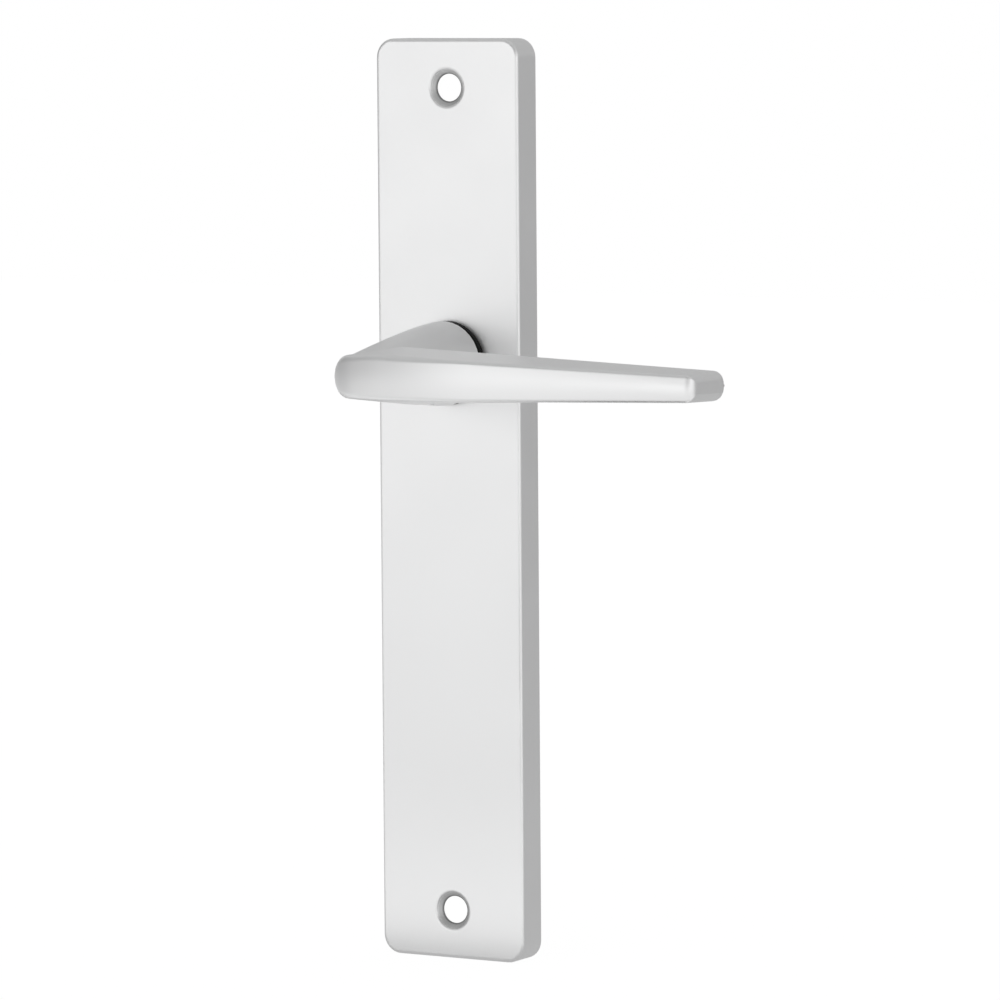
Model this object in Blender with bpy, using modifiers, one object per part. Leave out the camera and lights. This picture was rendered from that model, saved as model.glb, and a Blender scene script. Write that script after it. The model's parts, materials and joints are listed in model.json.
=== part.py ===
"""Lever handle on a narrow backplate: the outer or inner half of a door set.

The origin is the middle of the plate's seating face. +Y points into the door, +Z up,
and the lever at rest points to +X. All values are in metres.
"""

import math

import bmesh
import bpy
from mathutils import Matrix, Vector

MM = 0.001

# Clearance kept between neighbouring pieces
GAP = 0.3 * MM

# Plate, an open-backed casting
PLATE_LENGTH = 218 * MM
PLATE_WIDTH = 38.5 * MM
PLATE_DEPTH = 8.6 * MM
WALL = 1.6 * MM
CORNER_RADIUS = 4.5 * MM
FRONT_EDGE_RADIUS = 0.8 * MM
POCKET_RADIUS = 3.0 * MM
POCKET_FILLET = 0.8 * MM
RIB = 1.6 * MM

# Fixing screws, countersunk with a softened rim
SCREW_INSET = 11.5 * MM
SCREW_BAY = 9.5 * MM
SCREW_HOLE_DIAMETER = 6.5 * MM
SINK_DIAMETER = 8.7 * MM
SINK_RIM_RADIUS = 0.8 * MM
SINK_LAND = 0.2 * MM

# Lever bearing, above the middle of the plate
AXIS_HEIGHT = 32.8 * MM
HUB_BAY = 20 * MM
SHANK_DIAMETER = 15 * MM
BUSH_WALL = 1.2 * MM
COLLAR_DIAMETER = 19.8 * MM
COLLAR_HEIGHT = 1.6 * MM
COLLAR_EDGE_RADIUS = 0.3 * MM
HUB_WALL = 2.0 * MM

# Spindle socket and its grub screw
SPINDLE_SQUARE = 8.0 * MM
SPINDLE_CLEARANCE = 0.1 * MM
SOCKET_DEPTH = 32 * MM
GRUB_DIAMETER = 5.0 * MM
GRUB_LENGTH = 4.0 * MM
GRUB_KEY = 2.5 * MM
GRUB_KEY_DEPTH = 2.2 * MM
GRUB_SETBACK = 10 * MM

# Retaining ring in the groove at the shank's end
SHANK_TAIL = 0.45 * MM
RING_THICKNESS = 0.7 * MM
RING_WIDTH = 2.2 * MM
RING_OPENING = math.radians(56)
RING_EAR = 1.5 * MM
RING_EAR_HOLE = 1.1 * MM
GROOVE_DEPTH = 1.0 * MM

# Driver cam on the flats of the shank
CAM_THICKNESS = 1.1 * MM
CAM_RADIUS = 11.4 * MM
FLAT_DEPTH = 1.5 * MM
ARM_WIDTH = 5.0 * MM
ARM_REACH = 16.2 * MM
ARM_ANGLE = math.radians(270)
TAB_WIDTH = 2.5 * MM
TAB_REACH = 14.6 * MM
TAB_DROP = 1.8 * MM
TAB_ANGLE = math.radians(90)

# Stops for the cam's arm, and how far the lever turns between them
TURN = math.radians(40)
STOP_THICKNESS = 3.5 * MM
STOP_LENGTH = 4.0 * MM
STOP_ABOVE_CAM = 0.3 * MM

# Return spring round the hub
WIRE = 0.9 * MM
SPRING_CLEARANCE = 0.4 * MM
LEG_BEND = 1.0 * MM
LEG_LENGTH = 2.6 * MM
FIXED_LEG_ANGLE = math.radians(180)
POST_WIDTH = 3.2 * MM

# Lever: round at the plate, a wedge section from the elbow to the tip
NECK_DIAMETER = 20 * MM
NECK_RIM_CHAMFER = 0.35 * MM
NECK_SWELL = 0.5 * MM
ELBOW_WIDTH = 16 * MM
ELBOW_INNER_HEIGHT = 12.4 * MM
ELBOW_OUTER_HEIGHT = 9.0 * MM
ELBOW_INNER_RADIUS = 2.6 * MM
ELBOW_ROUNDING = 7.3 * MM
ELBOW_OUTER_RADIUS = 14 * MM
ELBOW_DROP = 0.75 * MM
GRIP_DROP = 0.15 * MM
SWEEP_END = 39 * MM
SWEEP_DEPTH = 5.6 * MM
FOLD_ROUNDING = 1.7 * MM
FOLD_RATE = 1.9
FOLD_END = 36 * MM
PROJECTION = 61.3 * MM
REACH = 94.2 * MM
GRIP_DEPTH = 14.8 * MM
GRIP_FRONT_HEIGHT = 10.4 * MM
GRIP_BACK_HEIGHT = 13.4 * MM
TIP_FRONT_HEIGHT = 6.2 * MM
TIP_BACK_HEIGHT = 7.0 * MM
GRIP_FRONT_ROUNDING = 0.9 * MM
GRIP_BACK_ROUNDING = 1.3 * MM
TIP_BACK_ROUNDING = 3.0 * MM
FACE_CROWN = 0.3 * MM
TIP_SLANT = 1.0 * MM
TIP_EDGE_RADIUS = 1.9 * MM

# Facets
ROUND_STEPS = 64
CORNER_STEPS = 6
FACE_POINTS = 3
NECK_RINGS = 8
ELBOW_RINGS = 16
FOLD_RINGS = 9
GRIP_RINGS = 6
TIP_RINGS = 4
COIL_STEPS = 28

# Levels along Y, from the seating face at 0 forward
FACE_Y = -PLATE_DEPTH
FLOOR_Y = FACE_Y + WALL
GROOVE_BACK_Y = -SHANK_TAIL
GROOVE_FRONT_Y = GROOVE_BACK_Y - RING_THICKNESS - 2 * GAP
CAM_BACK_Y = GROOVE_FRONT_Y
CAM_FRONT_Y = CAM_BACK_Y - CAM_THICKNESS
HUB_BACK_Y = CAM_FRONT_Y - GAP
NECK_Y = FACE_Y - COLLAR_HEIGHT - 2 * GAP

# Height of the screw holes above and below the middle
SCREW_HEIGHT = PLATE_LENGTH / 2 - SCREW_INSET

# Radii round the lever's axis
SHANK_RADIUS = SHANK_DIAMETER / 2
BUSH_BORE_RADIUS = SHANK_RADIUS + GAP
BUSH_RADIUS = BUSH_BORE_RADIUS + BUSH_WALL
HUB_BORE_RADIUS = BUSH_RADIUS + GAP
HUB_RADIUS = HUB_BORE_RADIUS + HUB_WALL
COIL_RADIUS = HUB_RADIUS + SPRING_CLEARANCE + WIRE / 2
STOP_RADIUS = COIL_RADIUS + WIRE / 2 + SPRING_CLEARANCE

AXIS = Vector((0, 0, AXIS_HEIGHT))


# Scene and helpers

def clear_scene():
    for item in list(bpy.data.objects):
        bpy.data.objects.remove(item, do_unlink=True)


def make_collection(name):
    collection = bpy.data.collections.new(name)
    bpy.context.scene.collection.children.link(collection)
    return collection


clear_scene()
PARTS = make_collection("lever_handle_on_backplate")
CUTTERS = make_collection("cutters")


def make_material(name, colour, roughness, metallic):
    material = bpy.data.materials.new(name)
    material.use_nodes = True
    shader = material.node_tree.nodes["Principled BSDF"]
    shader.inputs["Base Color"].default_value = (*colour, 1)
    shader.inputs["Roughness"].default_value = roughness
    shader.inputs["Metallic"].default_value = metallic
    return material


def link_mesh(name, bm, collection):
    """Finish a bmesh as an object of the given collection."""
    bmesh.ops.recalc_face_normals(bm, faces=bm.faces)
    mesh = bpy.data.meshes.new(name)
    bm.to_mesh(mesh)
    bm.free()
    item = bpy.data.objects.new(name, mesh)
    collection.objects.link(item)
    if collection is CUTTERS:
        item.hide_render = True
        item.display_type = 'WIRE'
    return item


def box(name, low, high, collection):
    bm = bmesh.new()
    bmesh.ops.create_cube(bm, size=1)
    size = Vector(high) - Vector(low)
    middle = (Vector(high) + Vector(low)) / 2
    bmesh.ops.scale(bm, vec=size, verts=bm.verts)
    bmesh.ops.translate(bm, vec=middle, verts=bm.verts)
    return link_mesh(name, bm, collection)


def rod_along_y(name, radius, y_front, y_back, collection, steps=ROUND_STEPS):
    """A cylinder about the lever's axis."""
    bm = bmesh.new()
    turn = Matrix.Rotation(math.radians(90), 4, 'X')
    place = Matrix.Translation(AXIS + Vector((0, (y_front + y_back) / 2, 0)))
    bmesh.ops.create_cone(bm, cap_ends=True, segments=steps, radius1=radius,
                          radius2=radius, depth=y_back - y_front, matrix=place @ turn)
    return link_mesh(name, bm, collection)


def turned(name, profile, closed, place, collection):
    """A profile of (radius, height) points turned about the local Z axis."""
    bm = bmesh.new()
    points = [bm.verts.new((radius, 0, height)) for radius, height in profile]
    for first, second in zip(points, points[1:]):
        bm.edges.new((first, second))
    if closed:
        bm.edges.new((points[-1], points[0]))
    mesh = bpy.data.meshes.new(name)
    bm.to_mesh(mesh)
    bm.free()
    item = bpy.data.objects.new(name, mesh)
    collection.objects.link(item)
    item.matrix_world = place
    screw = item.modifiers.new("Turn", 'SCREW')
    screw.steps = ROUND_STEPS
    screw.render_steps = ROUND_STEPS
    screw.use_merge_vertices = True
    screw.merge_threshold = 0.001 * MM
    if collection is CUTTERS:
        item.hide_render = True
        item.display_type = 'WIRE'
    return item


def boolean(target, tool, operation):
    modifier = target.modifiers.new(tool.name, 'BOOLEAN')
    modifier.operation = operation
    modifier.solver = 'EXACT'
    modifier.object = tool


def flat_sheet(name, outlines, y_front, y_back, collection):
    """A sheet cut to closed outlines of (x, z) points; the later ones are its holes."""
    curve = bpy.data.curves.new(name, 'CURVE')
    curve.dimensions = '2D'
    curve.fill_mode = 'BOTH'
    curve.extrude = (y_back - y_front) / 2
    for outline in outlines:
        spline = curve.splines.new('POLY')
        spline.points.add(len(outline) - 1)
        for point, (x, z) in zip(spline.points, outline):
            point.co = (x, z, 0, 1)
        spline.use_cyclic_u = True
    guide = bpy.data.objects.new(name + "_curve", curve)
    CUTTERS.objects.link(guide)
    middle = AXIS + Vector((0, (y_front + y_back) / 2, 0))
    guide.matrix_world = Matrix.Translation(middle) @ Matrix.Rotation(math.radians(90), 4, 'X')
    return curve_to_mesh(guide, name, collection)


def curve_to_mesh(guide, name, collection):
    """Replace a curve object by a welded mesh object in the same place."""
    bpy.context.view_layer.update()
    evaluated = guide.evaluated_get(bpy.context.evaluated_depsgraph_get())
    mesh = bpy.data.meshes.new_from_object(evaluated)
    bm = bmesh.new()
    bm.from_mesh(mesh)
    bpy.data.meshes.remove(mesh)
    bmesh.ops.remove_doubles(bm, verts=bm.verts, dist=0.001 * MM)
    item = link_mesh(name, bm, collection)
    item.matrix_world = guide.matrix_world.copy()
    bpy.data.objects.remove(guide, do_unlink=True)
    return item


def arc(centre, radius, start, end, steps):
    """Points of an arc in the XZ plane, both ends included."""
    points = []
    for step in range(steps + 1):
        angle = start + (end - start) * step / steps
        points.append((centre[0] + radius * math.cos(angle),
                       centre[1] + radius * math.sin(angle)))
    return points


def radial_box(name, angle, offsets, radii, levels, collection):
    """A block beside the ray at an angle round the axis.

    Offsets are measured across the ray, towards greater angles.
    """
    item = box(name, (radii[0], levels[0], offsets[0]), (radii[1], levels[1], offsets[1]),
               collection)
    item.matrix_world = Matrix.Translation(AXIS) @ Matrix.Rotation(-angle, 4, 'Y')
    return item


def blend(first, second, share):
    return first + (second - first) * share


def ease(share):
    return share * share * (3 - 2 * share)


# Backplate

def slab(name, width, z_range, y_range, corner, rim, collection, steps):
    """A rounded slab whose front rim is rounded too."""
    item = box(name, (-width / 2, y_range[0], z_range[0]), (width / 2, y_range[1], z_range[1]),
               collection)
    bm = bmesh.new()
    bm.from_mesh(item.data)
    corners = [edge for edge in bm.edges
               if abs((edge.verts[0].co - edge.verts[1].co).normalized().y) > 0.99]
    bmesh.ops.bevel(bm, geom=corners, offset=corner, segments=steps, profile=0.5,
                    affect='EDGES')
    front = [edge for edge in bm.edges
             if all(abs(vert.co.y - y_range[0]) < 0.001 * MM for vert in edge.verts)]
    bmesh.ops.bevel(bm, geom=front, offset=rim, segments=max(2, steps // 2), profile=0.5,
                    affect='EDGES')
    bm.to_mesh(item.data)
    bm.free()
    return item


def rib_heights():
    """Heights of the cross ribs, from the bottom of the plate to the top."""
    screw_rib = SCREW_HEIGHT - SCREW_BAY
    lower = [-screw_rib * share / 3 for share in (3, 2, 1)]
    return lower + [0, AXIS_HEIGHT + HUB_BAY, screw_rib]


def cut_pockets(plate):
    """Open the back between the end walls and the ribs."""
    ribs = rib_heights()
    inner_end = PLATE_LENGTH / 2 - WALL
    lows = [-inner_end] + [height + RIB / 2 for height in ribs]
    highs = [height - RIB / 2 for height in ribs] + [inner_end]
    for number, z_range in enumerate(zip(lows, highs), 1):
        pocket = slab(f"pocket_{number}", PLATE_WIDTH - 2 * WALL, z_range,
                      (FLOOR_Y, PLATE_DEPTH), POCKET_RADIUS, POCKET_FILLET, CUTTERS, 4)
        boolean(plate, pocket, 'DIFFERENCE')


def screw_sink_profile():
    """Countersink with a softened rim, from outside the face inwards."""
    hole = SCREW_HOLE_DIAMETER / 2
    sink = SINK_DIAMETER / 2
    depth = SINK_RIM_RADIUS * 0.6
    profile = [(0, WALL), (sink + SINK_RIM_RADIUS, WALL)]
    for step in range(CORNER_STEPS + 1):
        angle = math.radians(90) * step / CORNER_STEPS
        profile.append((sink + SINK_RIM_RADIUS * (1 - math.sin(angle)),
                        -depth * (1 - math.cos(angle))))
    profile += [(hole, -WALL + SINK_LAND), (hole, -2 * WALL), (0, -2 * WALL)]
    return profile


def cut_screw_holes(plate):
    for name, height in (("upper", SCREW_HEIGHT), ("lower", -SCREW_HEIGHT)):
        place = Matrix.Translation((0, FACE_Y, height)) @ Matrix.Rotation(math.radians(90), 4, 'X')
        sink = turned(f"{name}_screw_sink", screw_sink_profile(), False, place, CUTTERS)
        boolean(plate, sink, 'DIFFERENCE')


def add_hub(plate):
    """Hub, stops and spring post stand on the floor, rooted in the face wall."""
    root = FACE_Y + WALL / 2
    hub = rod_along_y("hub", HUB_RADIUS, root, HUB_BACK_Y, CUTTERS)
    boolean(plate, hub, 'UNION')
    half_arm = ARM_WIDTH / 2 + GAP
    levels = (root, CAM_BACK_Y + STOP_ABOVE_CAM)
    radii = (STOP_RADIUS, STOP_RADIUS + STOP_LENGTH)
    rest_stop = radial_box("rest_stop", ARM_ANGLE, (half_arm, half_arm + STOP_THICKNESS),
                           radii, levels, CUTTERS)
    end_stop = radial_box("end_stop", ARM_ANGLE - TURN, (-half_arm - STOP_THICKNESS, -half_arm),
                          radii, levels, CUTTERS)
    face = LEG_BEND - WIRE / 2 - GAP
    post = radial_box("spring_post", FIXED_LEG_ANGLE, (face - POST_WIDTH, face),
                      (STOP_RADIUS, PLATE_WIDTH / 2 - WALL / 2), (root, HUB_BACK_Y), CUTTERS)
    for block in (rest_stop, end_stop, post):
        boolean(plate, block, 'UNION')
    bore = rod_along_y("hub_bore", HUB_BORE_RADIUS, FACE_Y - WALL, 0, CUTTERS)
    boolean(plate, bore, 'DIFFERENCE')


def make_backplate():
    half = PLATE_LENGTH / 2
    plate = slab("backplate", PLATE_WIDTH, (-half, half), (FACE_Y, 0), CORNER_RADIUS,
                 FRONT_EDGE_RADIUS, PARTS, 8)
    cut_pockets(plate)
    add_hub(plate)
    cut_screw_holes(plate)
    return plate


# Bush

def make_bush():
    """Black collar in front of the face, barrel through the hub."""
    collar = COLLAR_DIAMETER / 2
    edge = COLLAR_EDGE_RADIUS
    top = GAP + COLLAR_HEIGHT
    bottom = FACE_Y - HUB_BACK_Y
    profile = [(BUSH_BORE_RADIUS, top), (collar - edge, top), (collar, top - edge),
               (collar, GAP), (BUSH_RADIUS, GAP), (BUSH_RADIUS, bottom),
               (BUSH_BORE_RADIUS, bottom)]
    place = Matrix.Translation(AXIS + Vector((0, FACE_Y, 0))) @ Matrix.Rotation(math.radians(90), 4, 'X')
    return turned("bearing_bush", profile, True, place, PARTS)


# Lever

def rounded_corner(corner, before, after, radius, steps):
    """Arc that rounds one corner of an outline."""
    back = (before - corner).normalized()
    ahead = (after - corner).normalized()
    half = math.acos(max(-1, min(1, back.dot(ahead)))) / 2
    start = corner + back * radius / math.tan(half)
    centre = corner + (back + ahead).normalized() * radius / math.sin(half)
    spoke = start - centre
    sweep = math.pi - 2 * half
    side = 1 if back.x * ahead.y - back.y * ahead.x < 0 else -1
    return [centre + Matrix.Rotation(side * sweep * step / steps, 2) @ spoke
            for step in range(steps + 1)]


def crowned_face(start, end, crown):
    """Points between two corners, bowed outwards."""
    across = Vector((end.y - start.y, start.x - end.x)).normalized()
    points = []
    for step in range(1, FACE_POINTS + 1):
        share = step / (FACE_POINTS + 1)
        points.append(start.lerp(end, share) - across * crown * 4 * share * (1 - share))
    return points


def wedge_section(width, inner_height, outer_height, inner_rounding, outer_rounding, crown):
    """Outline in (across, up), from the inner side at 0 to the outer side at width."""
    inner = min(inner_rounding, inner_height * 0.49, width * 0.49)
    outer = min(outer_rounding, outer_height * 0.49, width * 0.49)
    corners = [Vector((0, inner_height / 2)), Vector((width, outer_height / 2)),
               Vector((width, -outer_height / 2)), Vector((0, -inner_height / 2))]
    arcs = []
    for number, radius in enumerate((inner, outer, outer, inner)):
        arcs.append(rounded_corner(corners[number], corners[number - 1],
                                   corners[(number + 1) % 4], radius, CORNER_STEPS))
    front = crowned_face(arcs[1][-1], arcs[2][0], crown)
    back = crowned_face(arcs[3][-1], arcs[0][0], crown)
    return arcs[0] + arcs[1] + front + arcs[2] + arcs[3] + back


def round_section(radius):
    """Circle with the same number of points as a wedge section, in the same order."""
    count = 4 * (CORNER_STEPS + 1) + 2 * FACE_POINTS
    step = 2 * math.pi / count
    first = step * (FACE_POINTS + 1) / 2
    return [Vector((radius - radius * math.cos(first + step * number),
                    radius * math.sin(first + step * number))) for number in range(count)]


def place_section(outline, base, direction, drop, slant=0.0):
    """Set an (across, up) outline at a base point, a drop below the axis.

    Across runs in the given plan direction.
    """
    ring = []
    for point in outline:
        x = base[0] + direction[0] * point.x + slant * point.x
        y = base[1] + direction[1] * point.x
        ring.append(Vector((x, y, AXIS_HEIGHT - drop + point.y)))
    return ring


def sweep_inset(x):
    """How far the lever's front lies behind its plane, bending back towards the elbow."""
    return SWEEP_DEPTH * (max(0, SWEEP_END - x) / SWEEP_END) ** 2


def elbow_corner():
    """Centre in plan of the arc from the neck's side to the swept front, and where it ends."""
    side = -ELBOW_WIDTH / 2
    lean = 0
    for _ in range(20):
        end_x = side + ELBOW_OUTER_RADIUS * (1 - math.sin(lean))
        lean = math.atan(2 * SWEEP_DEPTH * max(0, SWEEP_END - end_x) / SWEEP_END ** 2)
    centre_y = sweep_inset(end_x) - PROJECTION + ELBOW_OUTER_RADIUS * math.cos(lean)
    return Vector((side + ELBOW_OUTER_RADIUS, centre_y)), end_x


def elbow_width(pivot, direction):
    """Distance from the elbow's pivot to its outer outline in plan, found by halving."""
    centre, end_x = elbow_corner()
    inside, outside = 0, PROJECTION
    while outside - inside > 0.0001 * MM:
        distance = (inside + outside) / 2
        point = pivot + direction * distance
        if point.x < end_x and point.y < centre.y:
            within = (point - centre).length < ELBOW_OUTER_RADIUS
        else:
            within = point.x > -ELBOW_WIDTH / 2 and point.y > sweep_inset(point.x) - PROJECTION
        if within:
            inside = distance
        else:
            outside = distance
    return inside


def neck_rings(pivot):
    """Round at the plate, easing into the elbow's wedge section."""
    radius = NECK_DIAMETER / 2
    rim = round_section(radius - NECK_RIM_CHAMFER)
    rings = [place_section(rim, (radius - NECK_RIM_CHAMFER, NECK_Y), (-1, 0), 0)]
    for number in range(NECK_RINGS):
        share = number / NECK_RINGS
        swell = NECK_SWELL * 4 * share * (1 - share)
        width = blend(NECK_DIAMETER, ELBOW_WIDTH, share)
        wedge = wedge_section(width, blend(NECK_DIAMETER, ELBOW_INNER_HEIGHT, share) + 2 * swell,
                              blend(NECK_DIAMETER, ELBOW_OUTER_HEIGHT, share) + 2 * swell,
                              blend(radius, ELBOW_ROUNDING, share),
                              blend(radius, ELBOW_ROUNDING, share), 0)
        circle = round_section(width / 2)
        outline = [first.lerp(second, ease(min(1, 3 * share))) for first, second in zip(circle, wedge)]
        y = blend(NECK_Y - NECK_RIM_CHAMFER, pivot.y, share)
        rings.append(place_section(outline, (width / 2, y), (-1, 0), ELBOW_DROP * ease(share)))
    return rings


def elbow_rings(pivot):
    """Sections fanned about the inner corner, from across the neck to across the grip."""
    rings = []
    for number in range(ELBOW_RINGS):
        share = number / ELBOW_RINGS
        angle = math.radians(90) * share
        direction = Vector((-math.cos(angle), -math.sin(angle)))
        width = elbow_width(pivot, direction) - ELBOW_INNER_RADIUS
        eased = ease(share)
        outline = wedge_section(width, blend(ELBOW_INNER_HEIGHT, GRIP_BACK_HEIGHT, eased),
                                blend(ELBOW_OUTER_HEIGHT, GRIP_FRONT_HEIGHT, eased),
                                blend(ELBOW_ROUNDING, GRIP_BACK_ROUNDING, eased),
                                blend(ELBOW_ROUNDING, FOLD_ROUNDING, ease(min(1, FOLD_RATE * share))),
                                FACE_CROWN * eased)
        rings.append(place_section(outline, pivot + direction * ELBOW_INNER_RADIUS, direction,
                                   blend(ELBOW_DROP, GRIP_DROP, eased)))
    return rings


def grip_ring(share, inset, x, front_rounding):
    """One section of the grip; the inset draws it in at the tip's rounded edge."""
    outline = wedge_section(GRIP_DEPTH - sweep_inset(x) - 2 * inset,
                            blend(GRIP_BACK_HEIGHT, TIP_BACK_HEIGHT, share) - 2 * inset,
                            blend(GRIP_FRONT_HEIGHT, TIP_FRONT_HEIGHT, share) - 2 * inset,
                            max(blend(GRIP_BACK_ROUNDING, TIP_BACK_ROUNDING, share) - inset,
                                0.2 * MM),
                            max(front_rounding - inset, 0.2 * MM), FACE_CROWN)
    base = (x + TIP_SLANT * share, GRIP_DEPTH - PROJECTION - inset)
    return place_section(outline, base, (0, -1), GRIP_DROP, -TIP_SLANT * share / GRIP_DEPTH)


def grip_rings(pivot):
    """Close together where the front edges still ease out, then wider to the tip."""
    last = REACH - TIP_SLANT - TIP_EDGE_RADIUS
    places = [blend(pivot.x, FOLD_END, number / FOLD_RINGS) for number in range(FOLD_RINGS)]
    places += [blend(FOLD_END, last, number / GRIP_RINGS) for number in range(GRIP_RINGS + 1)]
    rings = []
    for x in places:
        fold_share = min(1, (x - pivot.x) / (FOLD_END - pivot.x))
        rounding = blend(FOLD_ROUNDING, GRIP_FRONT_ROUNDING, ease(fold_share))
        rings.append(grip_ring((x - pivot.x) / (last - pivot.x), 0, x, rounding))
    for number in range(1, TIP_RINGS + 1):
        angle = math.radians(90) * number / TIP_RINGS
        rings.append(grip_ring(1, TIP_EDGE_RADIUS * (1 - math.cos(angle)),
                               last + TIP_EDGE_RADIUS * math.sin(angle), GRIP_FRONT_ROUNDING))
    return rings


def loft(name, rings, collection):
    """Closed body through rings of equal point counts."""
    bm = bmesh.new()
    rows = [[bm.verts.new(point) for point in ring] for ring in rings]
    count = len(rows[0])
    for row, following in zip(rows, rows[1:]):
        for number in range(count):
            after = (number + 1) % count
            bm.faces.new((row[number], row[after], following[after], following[number]))
    bm.faces.new(rows[0])
    bm.faces.new(rows[-1])
    return link_mesh(name, bm, collection)


def make_shank():
    """Bearing shank, with the groove for the retaining ring near its end."""
    bottom = SHANK_RADIUS - GROOVE_DEPTH
    profile = [(0, WALL - NECK_Y), (SHANK_RADIUS, WALL - NECK_Y), (SHANK_RADIUS, -GROOVE_FRONT_Y),
               (bottom, -GROOVE_FRONT_Y), (bottom, -GROOVE_BACK_Y), (SHANK_RADIUS, -GROOVE_BACK_Y),
               (SHANK_RADIUS, 0), (0, 0)]
    place = Matrix.Translation(AXIS) @ Matrix.Rotation(math.radians(90), 4, 'X')
    return turned("shank", profile, False, place, CUTTERS)


def cut_flats(lever):
    """Flats that carry the cam."""
    flat = SHANK_RADIUS - FLAT_DEPTH
    for name, low, high in (("upper", flat, SHANK_DIAMETER), ("lower", -SHANK_DIAMETER, -flat)):
        block = box(f"{name}_flat", (-SHANK_DIAMETER, HUB_BACK_Y, AXIS_HEIGHT + low),
                    (SHANK_DIAMETER, WALL, AXIS_HEIGHT + high), CUTTERS)
        boolean(lever, block, 'DIFFERENCE')


def grub_place():
    """Axis of the grub screw: up through the underside of the neck."""
    return NECK_Y - GRUB_SETBACK


def make_lever():
    inner_side = ELBOW_WIDTH / 2 + ELBOW_INNER_RADIUS
    pivot = Vector((inner_side, GRIP_DEPTH - PROJECTION + ELBOW_INNER_RADIUS))
    lever = loft("lever", neck_rings(pivot) + elbow_rings(pivot) + grip_rings(pivot), PARTS)
    boolean(lever, make_shank(), 'UNION')
    cut_flats(lever)
    half = SPINDLE_SQUARE / 2 + SPINDLE_CLEARANCE
    socket = box("spindle_socket", (-half, -SOCKET_DEPTH, AXIS_HEIGHT - half),
                 (half, WALL, AXIS_HEIGHT + half), CUTTERS)
    boolean(lever, socket, 'DIFFERENCE')
    boolean(lever, upright_rod("grub_hole", GRUB_DIAMETER / 2 + GAP,
                               AXIS_HEIGHT - NECK_DIAMETER, AXIS_HEIGHT, CUTTERS), 'DIFFERENCE')
    return lever


def upright_rod(name, radius, z_low, z_high, collection, steps=32):
    """A cylinder on the grub screw's axis."""
    bm = bmesh.new()
    place = Matrix.Translation((0, grub_place(), (z_low + z_high) / 2))
    bmesh.ops.create_cone(bm, cap_ends=True, segments=steps, radius1=radius,
                          radius2=radius, depth=z_high - z_low, matrix=place)
    return link_mesh(name, bm, collection)


def make_grub_screw():
    """Socket screw, its point just short of the spindle."""
    point = AXIS_HEIGHT - SPINDLE_SQUARE / 2 - SPINDLE_CLEARANCE - GAP
    screw = upright_rod("grub_screw", GRUB_DIAMETER / 2, point - GRUB_LENGTH, point, PARTS)
    key = upright_rod("grub_key", GRUB_KEY / math.sqrt(3), point - GRUB_LENGTH - GRUB_KEY,
                      point - GRUB_LENGTH + GRUB_KEY_DEPTH, CUTTERS, 6)
    boolean(screw, key, 'DIFFERENCE')
    return screw


# Driver cam

def arm_outline(angle, width, reach, radius):
    """Corners of an arm that leaves a disc, in order of growing angle."""
    along = Vector((math.cos(angle), math.sin(angle)))
    across = Vector((-along.y, along.x))
    inner = math.sqrt(radius * radius - width * width / 4)
    corners = [(inner, -1), (reach, -1), (reach, 1), (inner, 1)]
    return [tuple(along * distance + across * width / 2 * side) for distance, side in corners]


def cam_outline():
    """Disc with the stop arm and the arm of the spring tab."""
    arm_half = math.asin(ARM_WIDTH / 2 / CAM_RADIUS)
    tab_half = math.asin(TAB_WIDTH / 2 / CAM_RADIUS)
    steps = ROUND_STEPS // 2
    first = arc((0, 0), CAM_RADIUS, TAB_ANGLE + tab_half, ARM_ANGLE - arm_half, steps)
    second = arc((0, 0), CAM_RADIUS, ARM_ANGLE + arm_half, TAB_ANGLE + 2 * math.pi - tab_half, steps)
    return (arm_outline(TAB_ANGLE, TAB_WIDTH, TAB_REACH, CAM_RADIUS) + first[1:-1]
            + arm_outline(ARM_ANGLE, ARM_WIDTH, ARM_REACH, CAM_RADIUS) + second[1:-1])


def flatted_outline(radius, flat):
    """Circle with a flat above and below."""
    edge = math.asin(flat / radius)
    steps = ROUND_STEPS // 4
    right = arc((0, 0), radius, -edge, edge, steps)
    left = arc((0, 0), radius, math.pi - edge, math.pi + edge, steps)
    return right + left


def make_cam():
    """Stamped cam with its spring tab bent forward."""
    hole = flatted_outline(SHANK_RADIUS + GAP, SHANK_RADIUS - FLAT_DEPTH + GAP)
    cam = flat_sheet("driver_cam", [cam_outline(), hole], CAM_FRONT_Y, CAM_BACK_Y, PARTS)
    tab = radial_box("spring_tab", TAB_ANGLE, (-TAB_WIDTH / 2, TAB_WIDTH / 2),
                     (TAB_REACH - CAM_THICKNESS, TAB_REACH),
                     (CAM_FRONT_Y - TAB_DROP, (CAM_FRONT_Y + CAM_BACK_Y) / 2), CUTTERS)
    boolean(cam, tab, 'UNION')
    return cam


# Retaining ring

def make_retaining_ring():
    """Open ring with two eared ends, its opening below."""
    inner = SHANK_RADIUS - GROOVE_DEPTH + GAP
    outer = inner + RING_WIDTH
    down = math.radians(270)
    first = down + RING_OPENING / 2
    last = down - RING_OPENING / 2 + 2 * math.pi
    ear = RING_EAR / outer * 2
    eared = outer + RING_EAR / 2
    outline = arc((0, 0), eared, first, first + ear, 3)
    outline += arc((0, 0), outer, first + ear, last - ear, ROUND_STEPS)
    outline += arc((0, 0), eared, last - ear, last, 3)
    outline += arc((0, 0), inner, last, first, ROUND_STEPS)
    holes = []
    for angle in (first + ear / 2, last - ear / 2):
        middle = ((inner + eared) / 2 * math.cos(angle), (inner + eared) / 2 * math.sin(angle))
        holes.append(arc(middle, RING_EAR_HOLE / 2, 0, 2 * math.pi * 11 / 12, 11))
    y_front = GROOVE_FRONT_Y + GAP
    return flat_sheet("retaining_ring", [outline] + holes, y_front, y_front + RING_THICKNESS, PARTS)


# Return spring

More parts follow.
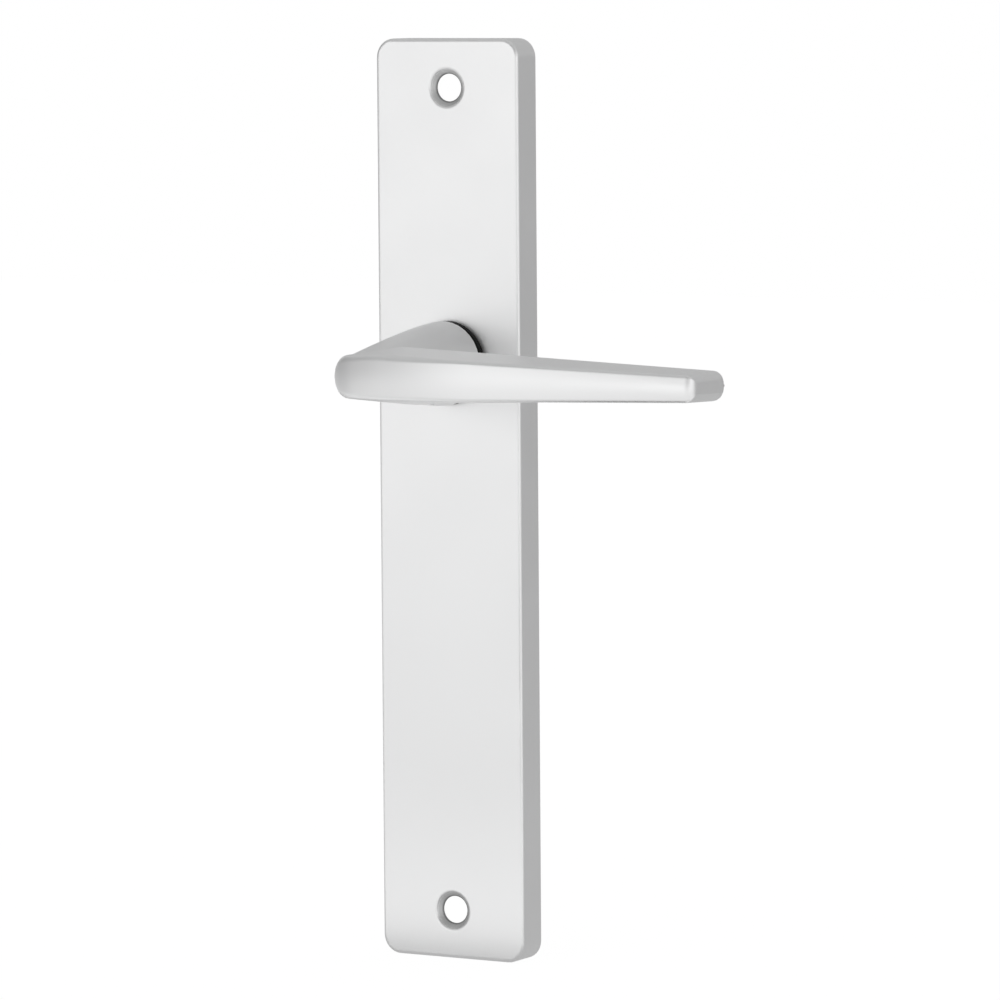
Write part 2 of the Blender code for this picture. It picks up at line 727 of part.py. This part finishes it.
def leg_points(angle, level, side):
    """Bent end of the wire, from the coil outwards; side 1 leads on, -1 leads back."""
    out = Vector((math.cos(angle), 0, math.sin(angle)))
    onward = Vector((math.sin(angle), 0, -math.cos(angle))) * side
    centre = out * (COIL_RADIUS + LEG_BEND)
    points = []
    for step in range(1, 6):
        bend = math.radians(90) * step / 5
        points.append(centre + LEG_BEND * (onward * math.sin(bend) - out * math.cos(bend)))
    points.append(points[-1] + out * LEG_LENGTH)
    return [point + Vector((0, level, 0)) for point in points]


def make_spring():
    """Wire wound round the hub, from the post near the floor to the cam's tab."""
    first_y = FLOOR_Y + GAP + WIRE / 2
    last_y = CAM_FRONT_Y - GAP - WIRE / 2
    offset = TAB_WIDTH / 2 + GAP + WIRE / 2 - LEG_BEND
    tab_leg_angle = TAB_ANGLE - math.asin(offset / COIL_RADIUS)
    part_turn = (FIXED_LEG_ANGLE - tab_leg_angle) / (2 * math.pi) % 1
    whole_turns = math.floor((last_y - first_y) / (WIRE * 1.06) - part_turn)
    turns = max(1, whole_turns) + part_turn
    steps = round(turns * COIL_STEPS)
    path = list(reversed(leg_points(FIXED_LEG_ANGLE, first_y, -1)))
    for step in range(steps + 1):
        share = step / steps
        angle = FIXED_LEG_ANGLE - 2 * math.pi * turns * share
        path.append(Vector((COIL_RADIUS * math.cos(angle), blend(first_y, last_y, share),
                            COIL_RADIUS * math.sin(angle))))
    path += leg_points(tab_leg_angle, last_y, 1)
    curve = bpy.data.curves.new("return_spring", 'CURVE')
    curve.dimensions = '3D'
    curve.bevel_depth = WIRE / 2
    curve.bevel_resolution = 2
    curve.use_fill_caps = True
    spline = curve.splines.new('POLY')
    spline.points.add(len(path) - 1)
    for point, place in zip(spline.points, path):
        point.co = (*place, 1)
    guide = bpy.data.objects.new("return_spring_curve", curve)
    CUTTERS.objects.link(guide)
    guide.matrix_world = Matrix.Translation(AXIS)
    return curve_to_mesh(guide, "return_spring", PARTS)


# Assembly

def finish(item, material, pivot=None):
    """Give a piece its material and smooth its round faces."""
    item.data.materials.clear()
    item.data.materials.append(material)
    item.data.shade_smooth()
    item.data.set_sharp_from_angle(angle=math.radians(30))
    if pivot is not None:
        place = item.matrix_world.copy()
        item.parent = pivot
        item.matrix_parent_inverse = pivot.matrix_world.inverted()
        item.matrix_world = place


def build():
    aluminium = make_material("satin_aluminium", (0.83, 0.84, 0.85), 0.38, 1.0)
    nylon = make_material("black_nylon", (0.02, 0.02, 0.022), 0.5, 0.0)
    steel = make_material("zinc_plated_steel", (0.62, 0.63, 0.65), 0.35, 1.0)
    spring_steel = make_material("spring_steel", (0.35, 0.35, 0.37), 0.4, 1.0)

    lever_pivot = bpy.data.objects.new("lever_axis", None)
    PARTS.objects.link(lever_pivot)
    lever_pivot.location = AXIS
    bpy.context.view_layer.update()

    finish(make_backplate(), aluminium)
    finish(make_bush(), nylon)
    finish(make_spring(), spring_steel)
    finish(make_lever(), aluminium, lever_pivot)
    finish(make_grub_screw(), steel, lever_pivot)
    finish(make_cam(), steel, lever_pivot)
    finish(make_retaining_ring(), spring_steel, lever_pivot)


build()
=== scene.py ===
"""Looks of the lever handle on a narrow backplate: materials, smooth spring, light, camera."""

import json
import math

import bpy
from mathutils import Matrix, Vector


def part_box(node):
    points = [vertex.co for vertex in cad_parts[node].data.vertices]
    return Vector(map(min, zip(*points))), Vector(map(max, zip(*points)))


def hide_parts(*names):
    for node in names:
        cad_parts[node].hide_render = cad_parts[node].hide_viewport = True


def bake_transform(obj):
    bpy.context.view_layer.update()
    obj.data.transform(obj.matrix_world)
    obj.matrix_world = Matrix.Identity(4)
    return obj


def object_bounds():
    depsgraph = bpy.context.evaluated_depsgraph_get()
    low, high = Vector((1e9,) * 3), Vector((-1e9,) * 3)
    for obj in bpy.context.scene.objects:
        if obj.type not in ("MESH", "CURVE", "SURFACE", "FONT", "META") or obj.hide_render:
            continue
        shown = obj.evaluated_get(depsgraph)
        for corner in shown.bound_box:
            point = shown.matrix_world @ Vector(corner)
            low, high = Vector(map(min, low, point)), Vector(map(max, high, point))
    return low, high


MM = 0.001

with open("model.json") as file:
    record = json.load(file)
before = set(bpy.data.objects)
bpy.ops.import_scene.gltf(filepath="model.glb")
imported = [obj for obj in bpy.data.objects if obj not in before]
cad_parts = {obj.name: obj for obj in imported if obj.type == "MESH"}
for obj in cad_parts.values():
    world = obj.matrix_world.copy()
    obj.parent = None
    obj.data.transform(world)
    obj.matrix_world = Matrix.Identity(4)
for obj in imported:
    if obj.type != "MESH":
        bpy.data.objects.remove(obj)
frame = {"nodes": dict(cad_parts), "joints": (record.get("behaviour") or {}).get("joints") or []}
cad_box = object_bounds()
NODES = frame["nodes"]

# Boxes of the pieces that sizes and places are taken from
plate_low, plate_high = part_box("backplate")
bush_low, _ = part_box("bearing_bush")
spring_low, spring_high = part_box("return_spring")

# Where most values of a noise texture lie
NOISE_RANGE = (0.3, 0.7)


# Node helpers

class Nodes:
    """Short way to build one material's node tree."""

    def __init__(self, name):
        self.material = bpy.data.materials.new(name)
        self.material.use_nodes = True
        self.tree = self.material.node_tree
        self.shader = self.tree.nodes["Principled BSDF"]
        self.position = self.add("ShaderNodeTexCoord").outputs["Object"]

    def add(self, kind):
        return self.tree.nodes.new(kind)

    def link(self, source, target):
        self.tree.links.new(source, target)

    def axes(self):
        """Object coordinates as one output for each axis."""
        split = self.add("ShaderNodeSeparateXYZ")
        self.link(self.position, split.inputs["Vector"])
        return split.outputs["X"], split.outputs["Y"], split.outputs["Z"]

    def stretched(self, scale):
        """Object coordinates scaled by axis."""
        mapping = self.add("ShaderNodeMapping")
        mapping.inputs["Scale"].default_value = scale
        self.link(self.position, mapping.inputs["Vector"])
        return mapping.outputs["Vector"]

    def noise(self, scale, detail=3.0, roughness=0.55, vector=None):
        node = self.add("ShaderNodeTexNoise")
        node.inputs["Scale"].default_value = scale
        node.inputs["Detail"].default_value = detail
        node.inputs["Roughness"].default_value = roughness
        self.link(vector or self.position, node.inputs["Vector"])
        return node.outputs["Fac"]

    def span(self, value, source, target):
        """Value carried from the source range into the target range, and held at its ends."""
        node = self.add("ShaderNodeMapRange")
        node.inputs["From Min"].default_value, node.inputs["From Max"].default_value = source
        node.inputs["To Min"].default_value, node.inputs["To Max"].default_value = target
        self.link(value, node.inputs["Value"])
        return node.outputs["Result"]

    def maths(self, operation, first, second=0):
        node = self.add("ShaderNodeMath")
        node.operation = operation
        for socket, value in zip(node.inputs, (first, second)):
            if isinstance(value, (int, float)):
                socket.default_value = value
            else:
                self.link(value, socket)
        return node.outputs["Value"]

    def length(self, across, along):
        """Length of a vector with two components."""
        across_squared = self.maths('MULTIPLY', across, across)
        along_squared = self.maths('MULTIPLY', along, along)
        return self.maths('SQRT', self.maths('ADD', across_squared, along_squared))

    def ramp(self, value, stops):
        node = self.add("ShaderNodeValToRGB")
        elements = node.color_ramp.elements
        while len(elements) < len(stops):
            elements.new(0.5)
        while len(elements) > len(stops):
            elements.remove(elements[-1])
        for element, (place, colour) in zip(elements, stops):
            element.position = place
            element.color = (*colour, 1)
        self.link(value, node.inputs["Fac"])
        return node.outputs["Color"]

    def two_tone(self, noise, low, high):
        """Colour that follows a noise from low to high."""
        return self.ramp(noise, ((NOISE_RANGE[0], low), (NOISE_RANGE[1], high)))

    def mix(self, share, first, second):
        node = self.add("ShaderNodeMix")
        node.data_type = 'RGBA'
        self.link(share, node.inputs["Factor"])
        for socket, value in ((node.inputs["A"], first), (node.inputs["B"], second)):
            if isinstance(value, tuple):
                socket.default_value = (*value, 1)
            else:
                self.link(value, socket)
        return node.outputs["Result"]

    def bumps(self, *layers):
        """Bump layers of (height, strength, depth in metres), one on another."""
        normal = None
        for height, strength, depth in layers:
            node = self.add("ShaderNodeBump")
            node.inputs["Strength"].default_value = strength
            node.inputs["Distance"].default_value = depth
            self.link(height, node.inputs["Height"])
            if normal is not None:
                self.link(normal, node.inputs["Normal"])
            normal = node.outputs["Normal"]
        self.link(normal, self.shader.inputs["Normal"])

    def colour(self, value):
        self.link(value, self.shader.inputs["Base Color"])

    def roughness(self, value):
        self.link(value, self.shader.inputs["Roughness"])


def seen_white(tree):
    """1 for what is seen, straight on, mirrored or through glass, 0 for what only lights."""
    path = tree.nodes.new("ShaderNodeLightPath")
    seen = path.outputs["Is Camera Ray"]
    for ray in ("Is Glossy Ray", "Is Transmission Ray"):
        either = tree.nodes.new("ShaderNodeMath")
        either.operation = 'MAXIMUM'
        tree.links.new(seen, either.inputs[0])
        tree.links.new(path.outputs[ray], either.inputs[1])
        seen = either.outputs["Value"]
    return seen


def grey(level):
    return (level, level, level)


def cool(level):
    """Faintly cool grey of anodised aluminium."""
    return (level * 0.998, level, level * 1.002)


# Materials

# Aluminium: colour levels, roughness, and what the cast skin adds in roughness and grain
SKIN_LEVELS = (0.885, 0.905)
CAST_LEVELS = (0.66, 0.78)
# Painted shade: the dark level laid on the screw holes' edges
HOLE_EDGE_SHADE_LEVEL = 0.2
SKIN_ROUGHNESS = (0.40, 0.45)
GRAIN_ROUGHNESS = (-0.025, 0.025)
CAST_ROUGHENING = 0.13
CAST_GRAIN = 3.0

# Plate: its rounded corners, and where the cast hollow starts inside them and behind the face
CORNER_RADIUS = 4.5 * MM
CORNER_X = plate_high.x - CORNER_RADIUS
CORNER_Z = plate_high.z - CORNER_RADIUS
HOLLOW_REACH = (CORNER_RADIUS - 0.3 * MM, CORNER_RADIUS - 0.1 * MM)
HOLLOW_FRONT = (plate_low.y + 0.3 * MM, plate_low.y + 0.7 * MM)

# Screw holes: the share of painted shade on their edges falls over the first range, and ends in
# the second
SCREW_INSET = 11.5 * MM
SCREW_HEIGHT = plate_high.z - SCREW_INSET
SCREW_HOLE_RADIUS = 3.25 * MM
EDGE_FADE = (SCREW_HOLE_RADIUS + 0.1 * MM, SCREW_HOLE_RADIUS + 0.4 * MM)
EDGE_END = (SCREW_HOLE_RADIUS + 0.6 * MM, SCREW_HOLE_RADIUS + 1.2 * MM)
HOLE_SHADE_SHARES = (0.85, 0.15)

# Lever: the machined shank starts at the front of the bush's collar
SHANK_FRONT = (bush_low.y - 0.1 * MM, bush_low.y + 0.1 * MM)


def satin_aluminium(name, cast_mask, painted_shade_mask=None):
    """Fine blasted and anodised skin.

    The cast mask picks out what is left as cast or machined; the other mask picks out where shade
    is painted, darker, on the screw holes' edges.
    """
    m = Nodes(name)
    cloud = m.noise(scale=38, detail=2.0)
    grain = m.noise(scale=5200, detail=2.0, roughness=0.6)
    soft = m.noise(scale=900, roughness=0.6)
    cast_cloud = m.noise(scale=120, detail=4.0, roughness=0.65)
    cast_grain = m.noise(scale=1500, roughness=0.7)
    cast_share = cast_mask(m)

    skin = m.two_tone(cloud, *(cool(level) for level in SKIN_LEVELS))
    cast = m.two_tone(cast_cloud, *(cool(level) for level in CAST_LEVELS))
    skin = m.mix(cast_share, skin, cast)
    if painted_shade_mask:
        # Painted shade darkens the skin at the screw holes' edges
        skin = m.mix(painted_shade_mask(m), skin, cool(HOLE_EDGE_SHADE_LEVEL))
    m.colour(skin)

    rough = m.span(cloud, NOISE_RANGE, SKIN_ROUGHNESS)
    rough = m.maths('ADD', rough, m.span(grain, NOISE_RANGE, GRAIN_ROUGHNESS))
    m.roughness(m.maths('ADD', rough, m.maths('MULTIPLY', cast_share, CAST_ROUGHENING)))

    coarse = m.maths('MULTIPLY', m.maths('MULTIPLY', cast_share, cast_grain), CAST_GRAIN)
    height = m.maths('ADD', grain, coarse)
    m.shader.inputs["Metallic"].default_value = 1.0
    m.bumps((soft, 0.05, 0.05 * MM), (height, 0.10, 0.02 * MM))
    return m.material


def plate_back(m):
    """1 in the hollow behind the face, 0 on the finished skin with its rounded corners."""
    x, y, z = m.axes()
    across = m.maths('MAXIMUM', m.maths('SUBTRACT', m.maths('ABSOLUTE', x), CORNER_X), 0)
    along = m.maths('MAXIMUM', m.maths('SUBTRACT', m.maths('ABSOLUTE', z), CORNER_Z), 0)
    inside = m.span(m.length(across, along), HOLLOW_REACH, (1, 0))
    behind = m.span(y, HOLLOW_FRONT, (0, 1))
    return m.maths('MULTIPLY', behind, inside)


def screw_hole_painted_shade(m):
    """Share of painted shade: strongest on the thin edge of the screw holes, fading up their
    countersinks.
    """
    x, _, z = m.axes()
    along = m.maths('SUBTRACT', m.maths('ABSOLUTE', z), SCREW_HEIGHT)
    reach = m.length(x, along)
    edge = m.span(reach, EDGE_FADE, HOLE_SHADE_SHARES)
    return m.maths('MULTIPLY', edge, m.span(reach, EDGE_END, (1, 0)))


def shank_back(m):
    """1 on the machined shank behind the collar, 0 on the neck and grip."""
    _, y, _ = m.axes()
    return m.span(y, SHANK_FRONT, (0, 1))


def black_nylon(name):
    m = Nodes(name)
    cloud = m.noise(scale=160)
    grain = m.noise(scale=3600, detail=2.0, roughness=0.6)
    m.colour(m.two_tone(cloud, grey(0.002), grey(0.005)))
    m.roughness(m.span(cloud, NOISE_RANGE, (0.42, 0.55)))
    m.shader.inputs["IOR"].default_value = 1.53
    m.shader.inputs["Specular IOR Level"].default_value = 0.08
    m.bumps((grain, 0.16, 0.03 * MM))
    return m.material


def zinc_plated_steel(name):
    """Bright zinc with a faint bluish and yellowish passivation and rolling lines."""
    m = Nodes(name)
    cloud = m.noise(scale=260, roughness=0.6)
    lines = m.noise(scale=900, roughness=0.6, vector=m.stretched((0.08, 1, 2.4)))
    bluish, plain, yellowish = (0.60, 0.63, 0.67), (0.66, 0.67, 0.67), (0.70, 0.68, 0.61)
    m.colour(m.ramp(cloud, ((0.25, bluish), (0.5, plain), (0.75, yellowish))))
    m.roughness(m.span(lines, NOISE_RANGE, (0.27, 0.42)))
    m.shader.inputs["Metallic"].default_value = 1.0
    m.bumps((lines, 0.12, 0.02 * MM))
    return m.material


def spring_steel(name):
    """Dark oiled steel with brown toning."""
    m = Nodes(name)
    cloud = m.noise(scale=420, detail=4.0, roughness=0.6)
    fine = m.noise(scale=2600, roughness=0.6)
    dark, plain, brown = (0.27, 0.27, 0.285), (0.36, 0.355, 0.35), (0.34, 0.31, 0.27)
    m.colour(m.ramp(cloud, ((0.3, dark), (0.6, plain), (0.8, brown))))
    m.roughness(m.span(fine, NOISE_RANGE, (0.30, 0.46)))
    m.shader.inputs["Metallic"].default_value = 1.0
    m.bumps((fine, 0.10, 0.02 * MM))
    return m.material


# Facets that meet at less than this angle are shaded as one round surface
ROUND_BELOW = math.radians(26)
LEVER_ROUND_BELOW = math.radians(38)

WELD_DISTANCE = 0.002 * MM
LEVEL_FACE_WEIGHT = 80


def dress(name, material, round_below=ROUND_BELOW):
    """Paint a node, weld its packed facets and shade them round, with crisp edges."""
    node = NODES[name]
    mesh = node.data
    mesh.materials.clear()
    mesh.materials.append(material)
    if "custom_normal" in mesh.attributes:
        mesh.attributes.remove(mesh.attributes["custom_normal"])
    mesh.shade_smooth()
    weld = node.modifiers.new("Weld", 'WELD')
    weld.merge_threshold = WELD_DISTANCE
    split = node.modifiers.new("Crisp edges", 'EDGE_SPLIT')
    split.split_angle = round_below
    split.use_edge_sharp = False
    level = node.modifiers.new("Level faces", 'WEIGHTED_NORMAL')
    level.mode = 'FACE_AREA'
    level.weight = LEVEL_FACE_WEIGHT


# The plate's screw holes get painted shade on their edges
dress("backplate", satin_aluminium("plate_skin", plate_back, screw_hole_painted_shade))
dress("lever", satin_aluminium("lever_skin", shank_back), LEVER_ROUND_BELOW)
dress("bearing_bush", black_nylon("bush_nylon"))
dress("driver_cam", zinc_plated_steel("cam_zinc"))
dress("grub_screw", spring_steel("grub_steel"))
dress("retaining_ring", spring_steel("ring_steel"))


# Return spring: round wire wound about the hub, a bent leg at either end

WIRE = 0.9 * MM
LEG_BEND = 1.0 * MM
LEG_LENGTH = 2.6 * MM
COIL_RADIUS = -spring_low.x - LEG_BEND - LEG_LENGTH
FIXED_LEG_ANGLE = math.radians(180)
TAB_ANGLE = math.radians(90)
TAB_LEG_OFFSET = 1.0 * MM
WHOLE_TURNS = 2
TURN_POINTS = 96
BEND_POINTS = 12
WIRE_ROUNDNESS = 4
WIRE_WELD_DISTANCE = 0.001 * MM
WIRE_ROUND_BELOW = math.radians(40)


def leg_points(angle, level, side):
    """Bent end of the wire, from the coil outwards; side 1 leads on, -1 leads back."""
    out = Vector((math.cos(angle), 0, math.sin(angle)))
    onward = Vector((math.sin(angle), 0, -math.cos(angle))) * side
    centre = out * (COIL_RADIUS + LEG_BEND)
    points = []
    for step in range(1, BEND_POINTS + 1):
        bend = math.radians(90) * step / BEND_POINTS
        points.append(centre + LEG_BEND * (onward * math.sin(bend) - out * math.cos(bend)))
    points.append(points[-1] + out * LEG_LENGTH)
    return [point + Vector((0, level, 0)) for point in points]


def spring_path(first_level, last_level):
    """Middle line of the wire about the lever's axis, from the post to the cam's tab."""
    tab_leg_angle = TAB_ANGLE - math.asin(TAB_LEG_OFFSET / COIL_RADIUS)
    turns = WHOLE_TURNS + (FIXED_LEG_ANGLE - tab_leg_angle) / (2 * math.pi)
    steps = round(turns * TURN_POINTS)
    path = list(reversed(leg_points(FIXED_LEG_ANGLE, first_level, -1)))
    for step in range(steps + 1):
        share = step / steps
        angle = FIXED_LEG_ANGLE - 2 * math.pi * turns * share
        level = first_level + (last_level - first_level) * share
        path.append(Vector((COIL_RADIUS * math.cos(angle), level, COIL_RADIUS * math.sin(angle))))
    return path + leg_points(tab_leg_angle, last_level, 1)


def wire_mesh(path, axis_height):
    """Mesh of a round wire along the path, which is given from the lever's axis."""
    curve = bpy.data.curves.new("spring_wire", 'CURVE')
    curve.dimensions = '3D'
    curve.bevel_depth = WIRE / 2
    curve.bevel_resolution = WIRE_ROUNDNESS
    curve.use_fill_caps = True
    spline = curve.splines.new('POLY')
    spline.points.add(len(path) - 1)
    for point, place in zip(spline.points, path):
        point.co = (place.x, place.y, axis_height + place.z, 1)
    guide = bpy.data.objects.new("spring_guide", curve)
    bpy.context.scene.collection.objects.link(guide)
    bpy.context.view_layer.update()
    finished = guide.evaluated_get(bpy.context.evaluated_depsgraph_get())
    mesh = bpy.data.meshes.new_from_object(finished)
    bpy.data.objects.remove(guide, do_unlink=True)
    return mesh


def make_spring():
    first_level, last_level = spring_low.y + WIRE / 2, spring_high.y - WIRE / 2
    axis = Vector(frame["joints"][0]["pos_m"])
    mesh = wire_mesh(spring_path(first_level, last_level), axis.z)
    spring = bpy.data.objects.new("spring_wire", mesh)
    bpy.context.scene.collection.objects.link(spring)
    weld = spring.modifiers.new("Weld", 'WELD')
    weld.merge_threshold = WIRE_WELD_DISTANCE
    mesh.materials.clear()
    mesh.materials.append(spring_steel("wire_steel"))
    mesh.shade_smooth()
    mesh.set_sharp_from_angle(angle=WIRE_ROUND_BELOW)
    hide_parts("return_spring")
    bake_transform(spring)


make_spring()


# Stage and light, in metres, with levels as radiances beside the backdrop's 1

WORLD_LEVEL = 0.75
BACKDROP_LEVEL = 1.0

FLOOR_HEIGHT = cad_box[0].z
FLOOR_SIZE = (5, 5)
FLOOR_GREY = 0.8
FLOOR_GLOW = 1.03
# What the camera sees of the floor's glow; the rest keeps the object's shadow
FLOOR_GLOW_SHARE = 0.94

LYING = (0, 0, 0)
UPRIGHT = (math.radians(90), 0, 0)
UPRIGHT_SIDEWAYS = (math.radians(90), 0, math.radians(90))
CARD_HEIGHT = FLOOR_HEIGHT + 0.05 * MM
RIGHT_CARD_PLACE = Vector((0.62, -0.89, 0.55))
FACING_OBJECT = RIGHT_CARD_PLACE.to_track_quat('Z', 'Y').to_euler()

# Name, size, place, turn, and (share of the way along the card's own Y, level) stops
CARDS = (
    ("back_card", (3.8, 1.65), (0.7, 0.8, 0.715), UPRIGHT,
     ((0, 0.33), (0.1, 0.37), (0.17, 0.49), (0.25, 0.5), (0.36, 0.46))),
    ("left_card", (1.6, 1.2), (-1.1, -0.2, 0.49), UPRIGHT_SIDEWAYS, ((0, 0.33),)),
    ("top_card", (3.0, 3.1), (0, -0.75, 0.75), LYING, ((0.4, 0.42), (0.62, 0.55))),
    ("right_card", (1.1, 0.55), RIGHT_CARD_PLACE, FACING_OBJECT, ((0, 0.25),)),
    ("floor_card", (2.0, 0.85), (0.4, 0.4, CARD_HEIGHT), LYING, ((0, 0.5),)),
    ("under_flag", (0.055, 0.05), (0.04, -0.07, -0.05), LYING, ((0, 0.05),)),
    ("front_card", (2.4, 0.9), (-0.4, -0.55, CARD_HEIGHT), LYING,
     ((0, 1.05), (0.6, 0.95), (1, 0.64))),
)

# Name, place, size and level; both aim at the middle of the plate's rear
LAMPS = (
    ("key", (-0.72, -1.65, 0.1), (0.9, 1.0), 0.36),
    ("fill", (1.5, -0.9, 0.1), (0.7, 0.9), 0.45),
)


def world_light():
    """Even grey light, with a white backdrop for what the camera sees."""
    world = bpy.data.worlds.new("studio")
    bpy.context.scene.world = world
    world.use_nodes = True
    tree = world.node_tree
    tree.nodes.clear()
    mix = tree.nodes.new("ShaderNodeMixShader")
    tree.links.new(seen_white(tree), mix.inputs["Fac"])
    for socket, level in ((mix.inputs[1], WORLD_LEVEL), (mix.inputs[2], BACKDROP_LEVEL)):
        light = tree.nodes.new("ShaderNodeBackground")
        light.inputs["Color"].default_value = (*grey(1), 1)
        light.inputs["Strength"].default_value = level
        tree.links.new(light.outputs["Background"], socket)
    output = tree.nodes.new("ShaderNodeOutputWorld")
    tree.links.new(mix.outputs["Shader"], output.inputs["Surface"])


def flat_mesh(name, size, place, turn):
    mesh = bpy.data.meshes.new(name)
    half_x, half_y = size[0] / 2, size[1] / 2
    corners = [(-half_x, -half_y, 0), (half_x, -half_y, 0), (half_x, half_y, 0),
               (-half_x, half_y, 0)]
    mesh.from_pydata(corners, [], [(0, 1, 2, 3)])
    plane = bpy.data.objects.new(name, mesh)
    bpy.context.scene.collection.objects.link(plane)
    plane.location = place
    plane.rotation_euler = turn
    return plane


def pale_floor():
    """Pale floor that the camera, metal and glass see almost as white as the backdrop."""
    floor = flat_mesh("floor", FLOOR_SIZE, (0, 0, FLOOR_HEIGHT), LYING)
    m = Nodes("floor")
    m.shader.inputs["Base Color"].default_value = (*grey(FLOOR_GREY), 1)
    m.shader.inputs["Roughness"].default_value = 0.9
    m.shader.inputs["Specular IOR Level"].default_value = 0.0
    glow = m.add("ShaderNodeEmission")
    glow.inputs["Strength"].default_value = FLOOR_GLOW
    mix = m.add("ShaderNodeMixShader")
    m.link(m.maths('MULTIPLY', seen_white(m.tree), FLOOR_GLOW_SHARE), mix.inputs["Fac"])
    m.link(m.shader.outputs["BSDF"], mix.inputs[1])
    m.link(glow.outputs["Emission"], mix.inputs[2])
    m.link(mix.outputs["Shader"], m.tree.nodes["Material Output"].inputs["Surface"])
    floor.data.materials.append(m.material)


def studio_card(name, size, place, turn, stops):
    """Grey card that metal mirrors; its level may change along the card's own Y.

    The camera doesn't see it, and it throws neither light nor shadow.
    """
    card = flat_mesh(name, size, place, turn)
    m = Nodes(name)
    _, y, _ = m.axes()
    along = m.span(y, (-size[1] / 2, size[1] / 2), (0, 1))
    glow = m.add("ShaderNodeEmission")
    m.link(m.ramp(along, [(share, grey(level)) for share, level in stops]), glow.inputs["Color"])
    m.link(glow.outputs["Emission"], m.tree.nodes["Material Output"].inputs["Surface"])
    card.data.materials.append(m.material)
    card.visible_camera = False
    card.visible_diffuse = False
    card.visible_shadow = False


def area_light(name, place, size, level):
    """Soft light whose own surface shines at the given level."""
    data = bpy.data.lights.new(name, 'AREA')
    data.shape = 'RECTANGLE'
    data.size, data.size_y = size
    data.energy = level * math.pi * size[0] * size[1]
    lamp = bpy.data.objects.new(name, data)
    bpy.context.scene.collection.objects.link(lamp)
    lamp.location = place
    lamp.rotation_euler = (-Vector(place)).to_track_quat('-Z', 'Y').to_euler()
    lamp.visible_camera = False


world_light()
pale_floor()
for card in CARDS:
    studio_card(*card)
for lamp in LAMPS:
    area_light(*lamp)


# Camera

AZIMUTH = math.radians(30.0)
ELEVATION = math.radians(5.09)
ROLL = math.radians(-0.41)
DISTANCE = 1450 * MM
TARGET = Vector((8.82, 0, -0.015)) * MM
SENSOR_WIDTH = 36
FOCAL_LENGTH_IN_WIDTHS = 6.128
NEAR_CLIP = 50 * MM
FAR_CLIP = 50000 * MM


def add_camera():
    """The photograph's viewpoint: a long lens, to the right of the plate and a little above."""
    back = Vector((math.sin(AZIMUTH) * math.cos(ELEVATION),
                   -math.cos(AZIMUTH) * math.cos(ELEVATION), math.sin(ELEVATION)))
    level = Vector((0, 0, 1)).cross(back).normalized()
    up = back.cross(level)
    right = level * math.cos(ROLL) + up * math.sin(ROLL)
    above = up * math.cos(ROLL) - level * math.sin(ROLL)
    data = bpy.data.cameras.new("photo_view")
    data.sensor_fit = 'HORIZONTAL'
    data.sensor_width = SENSOR_WIDTH
    data.lens = FOCAL_LENGTH_IN_WIDTHS * SENSOR_WIDTH
    data.clip_start = NEAR_CLIP
    data.clip_end = FAR_CLIP
    camera = bpy.data.objects.new("photo_view", data)
    bpy.context.scene.collection.objects.link(camera)
    turn = Matrix((right, above, back)).transposed().to_4x4()
    camera.matrix_world = Matrix.Translation(TARGET + back * DISTANCE) @ turn
    bpy.context.scene.camera = camera


add_camera()
bpy.context.scene.view_settings.view_transform = 'Standard'
